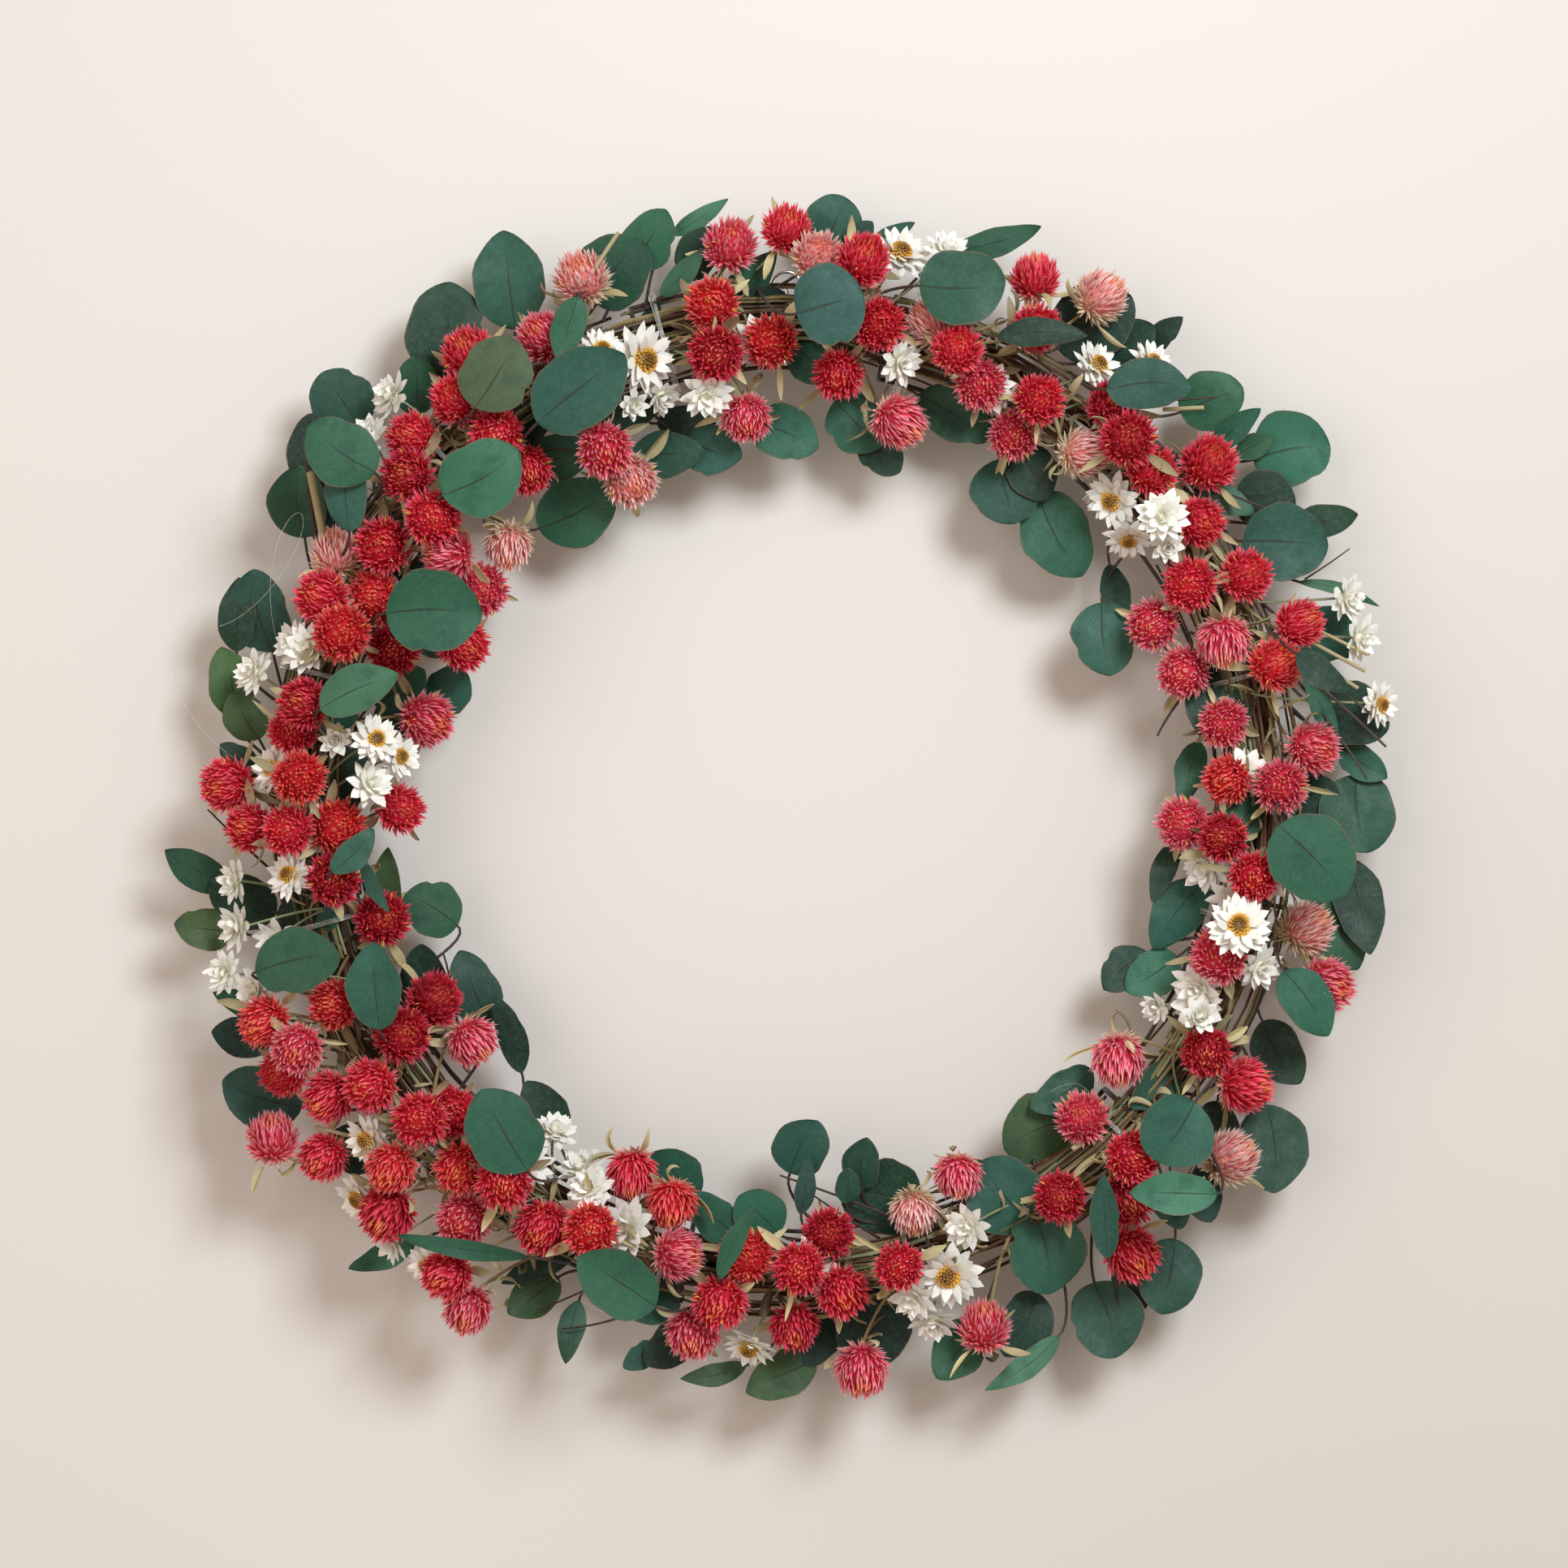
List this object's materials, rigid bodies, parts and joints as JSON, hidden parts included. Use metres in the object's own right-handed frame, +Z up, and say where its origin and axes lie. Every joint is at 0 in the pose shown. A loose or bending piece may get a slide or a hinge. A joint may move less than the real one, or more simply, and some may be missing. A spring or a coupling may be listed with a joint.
{
  "type": "harvest door wreath",
  "caption": "Round dried-flower door wreath: overlapping bunches of globe amaranth, winged everlasting and round-leaved eucalyptus tied to a twisted vine base, with a swinging hanging ring.",
  "frame": {"origin": "seat of the hook: the top of the inside of the hanging ring, which stands upright", "axes": "+Z up, +X to the right seen from the front, -Y to the front, away from the door"},
  "size_m": [0.562, 0.0876, 0.551],
  "materials": {
    "vine_bark": "rough dry bark",
    "steel_wire": "drawn wire",
    "polished_steel": "polished",
    "amaranth": "dry papery bracts, slight sheen",
    "everlasting": "dry papery bracts, matte",
    "eucalyptus": "dried waxy leaf, satin",
    "nylon_line": "clear glossy line"
  },
  "bodies": {
    "wreath": {"vine_cane_1": "vine_bark", "vine_cane_2": "vine_bark", "vine_cane_3": "vine_bark", "vine_cane_4": "vine_bark", "vine_cane_5": "vine_bark", "vine_tendril": "vine_bark", "hanger_eye": "steel_wire", "bunch_01_globe_amaranth": "amaranth", "bunch_01_everlasting": "everlasting", "bunch_01_eucalyptus": "eucalyptus", "bunch_01_tie": "nylon_line", "bunch_02_globe_amaranth": "amaranth", "bunch_02_everlasting": "everlasting", "bunch_02_eucalyptus": "eucalyptus", "bunch_02_tie": "nylon_line", "bunch_03_globe_amaranth": "amaranth", "bunch_03_everlasting": "everlasting", "bunch_03_eucalyptus": "eucalyptus", "bunch_03_tie": "nylon_line", "bunch_04_globe_amaranth": "amaranth", "bunch_04_everlasting": "everlasting", "bunch_04_eucalyptus": "eucalyptus", "bunch_04_tie": "nylon_line", "bunch_05_globe_amaranth": "amaranth", "bunch_05_everlasting": "everlasting", "bunch_05_eucalyptus": "eucalyptus", "bunch_05_tie": "nylon_line", "bunch_06_globe_amaranth": "amaranth", "bunch_06_everlasting": "everlasting", "bunch_06_eucalyptus": "eucalyptus", "bunch_06_tie": "nylon_line", "bunch_07_globe_amaranth": "amaranth", "bunch_07_everlasting": "everlasting", "bunch_07_eucalyptus": "eucalyptus", "bunch_07_tie": "nylon_line", "bunch_08_globe_amaranth": "amaranth", "bunch_08_everlasting": "everlasting", "bunch_08_eucalyptus": "eucalyptus", "bunch_08_tie": "nylon_line", "bunch_09_globe_amaranth": "amaranth", "bunch_09_everlasting": "everlasting", "bunch_09_eucalyptus": "eucalyptus", "bunch_09_tie": "nylon_line", "bunch_10_globe_amaranth": "amaranth", "bunch_10_everlasting": "everlasting", "bunch_10_eucalyptus": "eucalyptus", "bunch_10_tie": "nylon_line", "bunch_11_globe_amaranth": "amaranth", "bunch_11_everlasting": "everlasting", "bunch_11_eucalyptus": "eucalyptus", "bunch_11_tie": "nylon_line", "bunch_12_globe_amaranth": "amaranth", "bunch_12_everlasting": "everlasting", "bunch_12_eucalyptus": "eucalyptus", "bunch_12_tie": "nylon_line"},
    "ring": {"hanging_ring": "polished_steel"}
  },
  "joints": [
    {"name": "ring_swing", "type": "hinge", "parent": "wreath", "child": "ring", "pos_m": [0, 0, -0.0132], "axis": [1, 0, 0], "range_deg": [-90, 20]}
  ]
}
